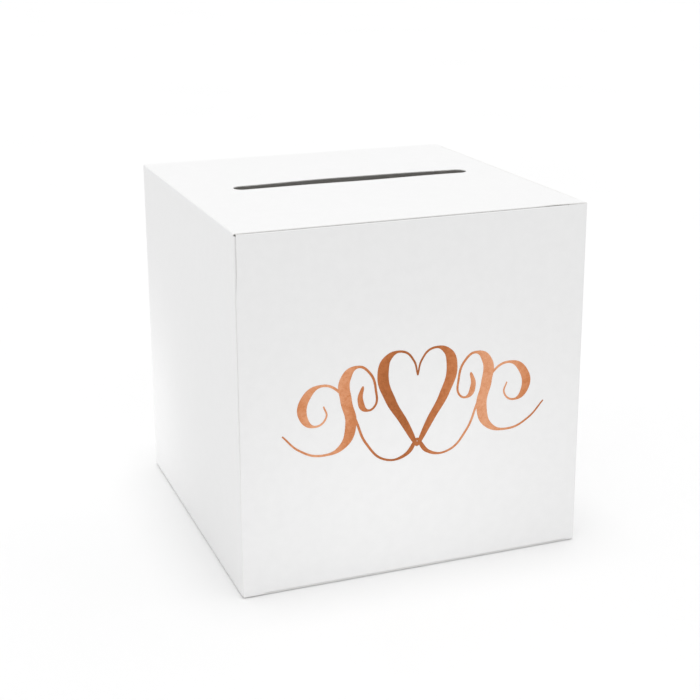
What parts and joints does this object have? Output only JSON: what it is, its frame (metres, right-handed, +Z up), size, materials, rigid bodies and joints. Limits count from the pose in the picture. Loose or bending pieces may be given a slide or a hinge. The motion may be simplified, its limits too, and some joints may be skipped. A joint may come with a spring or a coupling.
{
  "type": "wedding card box",
  "caption": "White folding-carton cube for wedding cards, with a rounded slot in its hinged, tucked lid and a copper foil flourish on the front.",
  "frame": {"origin": "centre of the base on the surface it stands on", "axes": "+Z up, the foil-stamped front faces -Y, +X to the viewer's right"},
  "size_m": [0.24, 0.24, 0.24],
  "materials": {
    "white_board": "matte",
    "copper_foil": "gloss",
    "seam_glue": "satin"
  },
  "bodies": {
    "walls": {"front_wall": "white_board", "back_wall": "white_board", "left_wall": "white_board", "right_wall": "white_board", "front_right_crease": "white_board", "back_right_crease": "white_board", "back_left_crease": "white_board", "glue_flap_crease": "white_board", "glue_flap": "white_board", "seam_adhesive": "seam_glue", "foil_flourish": "copper_foil", "lid_hinge_crease": "white_board", "lid_dust_crease_front": "white_board", "lid_dust_crease_back": "white_board", "base_hinge_crease": "white_board", "base_dust_crease_front": "white_board", "base_dust_crease_back": "white_board"},
    "lid": {"lid_panel": "white_board", "lid_tuck_crease": "white_board"},
    "lid_tuck": {"lid_tuck_flap": "white_board"},
    "lid_dust_front": {"lid_dust_flap_front": "white_board"},
    "lid_dust_back": {"lid_dust_flap_back": "white_board"},
    "base": {"base_panel": "white_board", "base_tuck_crease": "white_board"},
    "base_tuck": {"base_tuck_flap": "white_board"},
    "base_dust_front": {"base_dust_flap_front": "white_board"},
    "base_dust_back": {"base_dust_flap_back": "white_board"}
  },
  "joints": [
    {"name": "lid_hinge", "type": "hinge", "parent": "walls", "child": "lid", "pos_m": [-0.12, 0, 0.24], "axis": [0, -1, 0], "range_deg": [0, 265], "deforming": ["lid_hinge_crease"]},
    {"name": "lid_tuck_fold", "type": "hinge", "parent": "lid", "child": "lid_tuck", "pos_m": [0.11854, 0, 0.2394], "axis": [0, 1, 0], "range_deg": [0, 65], "stiffness_Nm_per_rad": 0.012, "springref_deg": -60, "deforming": ["lid_tuck_crease"]},
    {"name": "lid_dust_fold_front", "type": "hinge", "parent": "walls", "child": "lid_dust_front", "pos_m": [0, -0.1194, 0.2387], "axis": [-1, 0, 0], "range_deg": [0, 80], "stiffness_Nm_per_rad": 0.012, "springref_deg": -60, "deforming": ["lid_dust_crease_front"]},
    {"name": "lid_dust_fold_back", "type": "hinge", "parent": "walls", "child": "lid_dust_back", "pos_m": [0, 0.1194, 0.2387], "axis": [1, 0, 0], "range_deg": [0, 80], "stiffness_Nm_per_rad": 0.012, "springref_deg": -60, "deforming": ["lid_dust_crease_back"]},
    {"name": "base_hinge", "type": "hinge", "parent": "walls", "child": "base", "pos_m": [0.12, 0, 0], "axis": [0, -1, 0], "range_deg": [0, 265], "deforming": ["base_hinge_crease"]},
    {"name": "base_tuck_fold", "type": "hinge", "parent": "base", "child": "base_tuck", "pos_m": [-0.11854, 0, 0.0006], "axis": [0, 1, 0], "range_deg": [0, 65], "stiffness_Nm_per_rad": 0.012, "springref_deg": -60, "deforming": ["base_tuck_crease"]},
    {"name": "base_dust_fold_front", "type": "hinge", "parent": "walls", "child": "base_dust_front", "pos_m": [0, -0.1194, 0.0013], "axis": [1, 0, 0], "range_deg": [0, 80], "stiffness_Nm_per_rad": 0.012, "springref_deg": -60, "deforming": ["base_dust_crease_front"]},
    {"name": "base_dust_fold_back", "type": "hinge", "parent": "walls", "child": "base_dust_back", "pos_m": [0, 0.1194, 0.0013], "axis": [-1, 0, 0], "range_deg": [0, 80], "stiffness_Nm_per_rad": 0.012, "springref_deg": -60, "deforming": ["base_dust_crease_back"]}
  ]
}
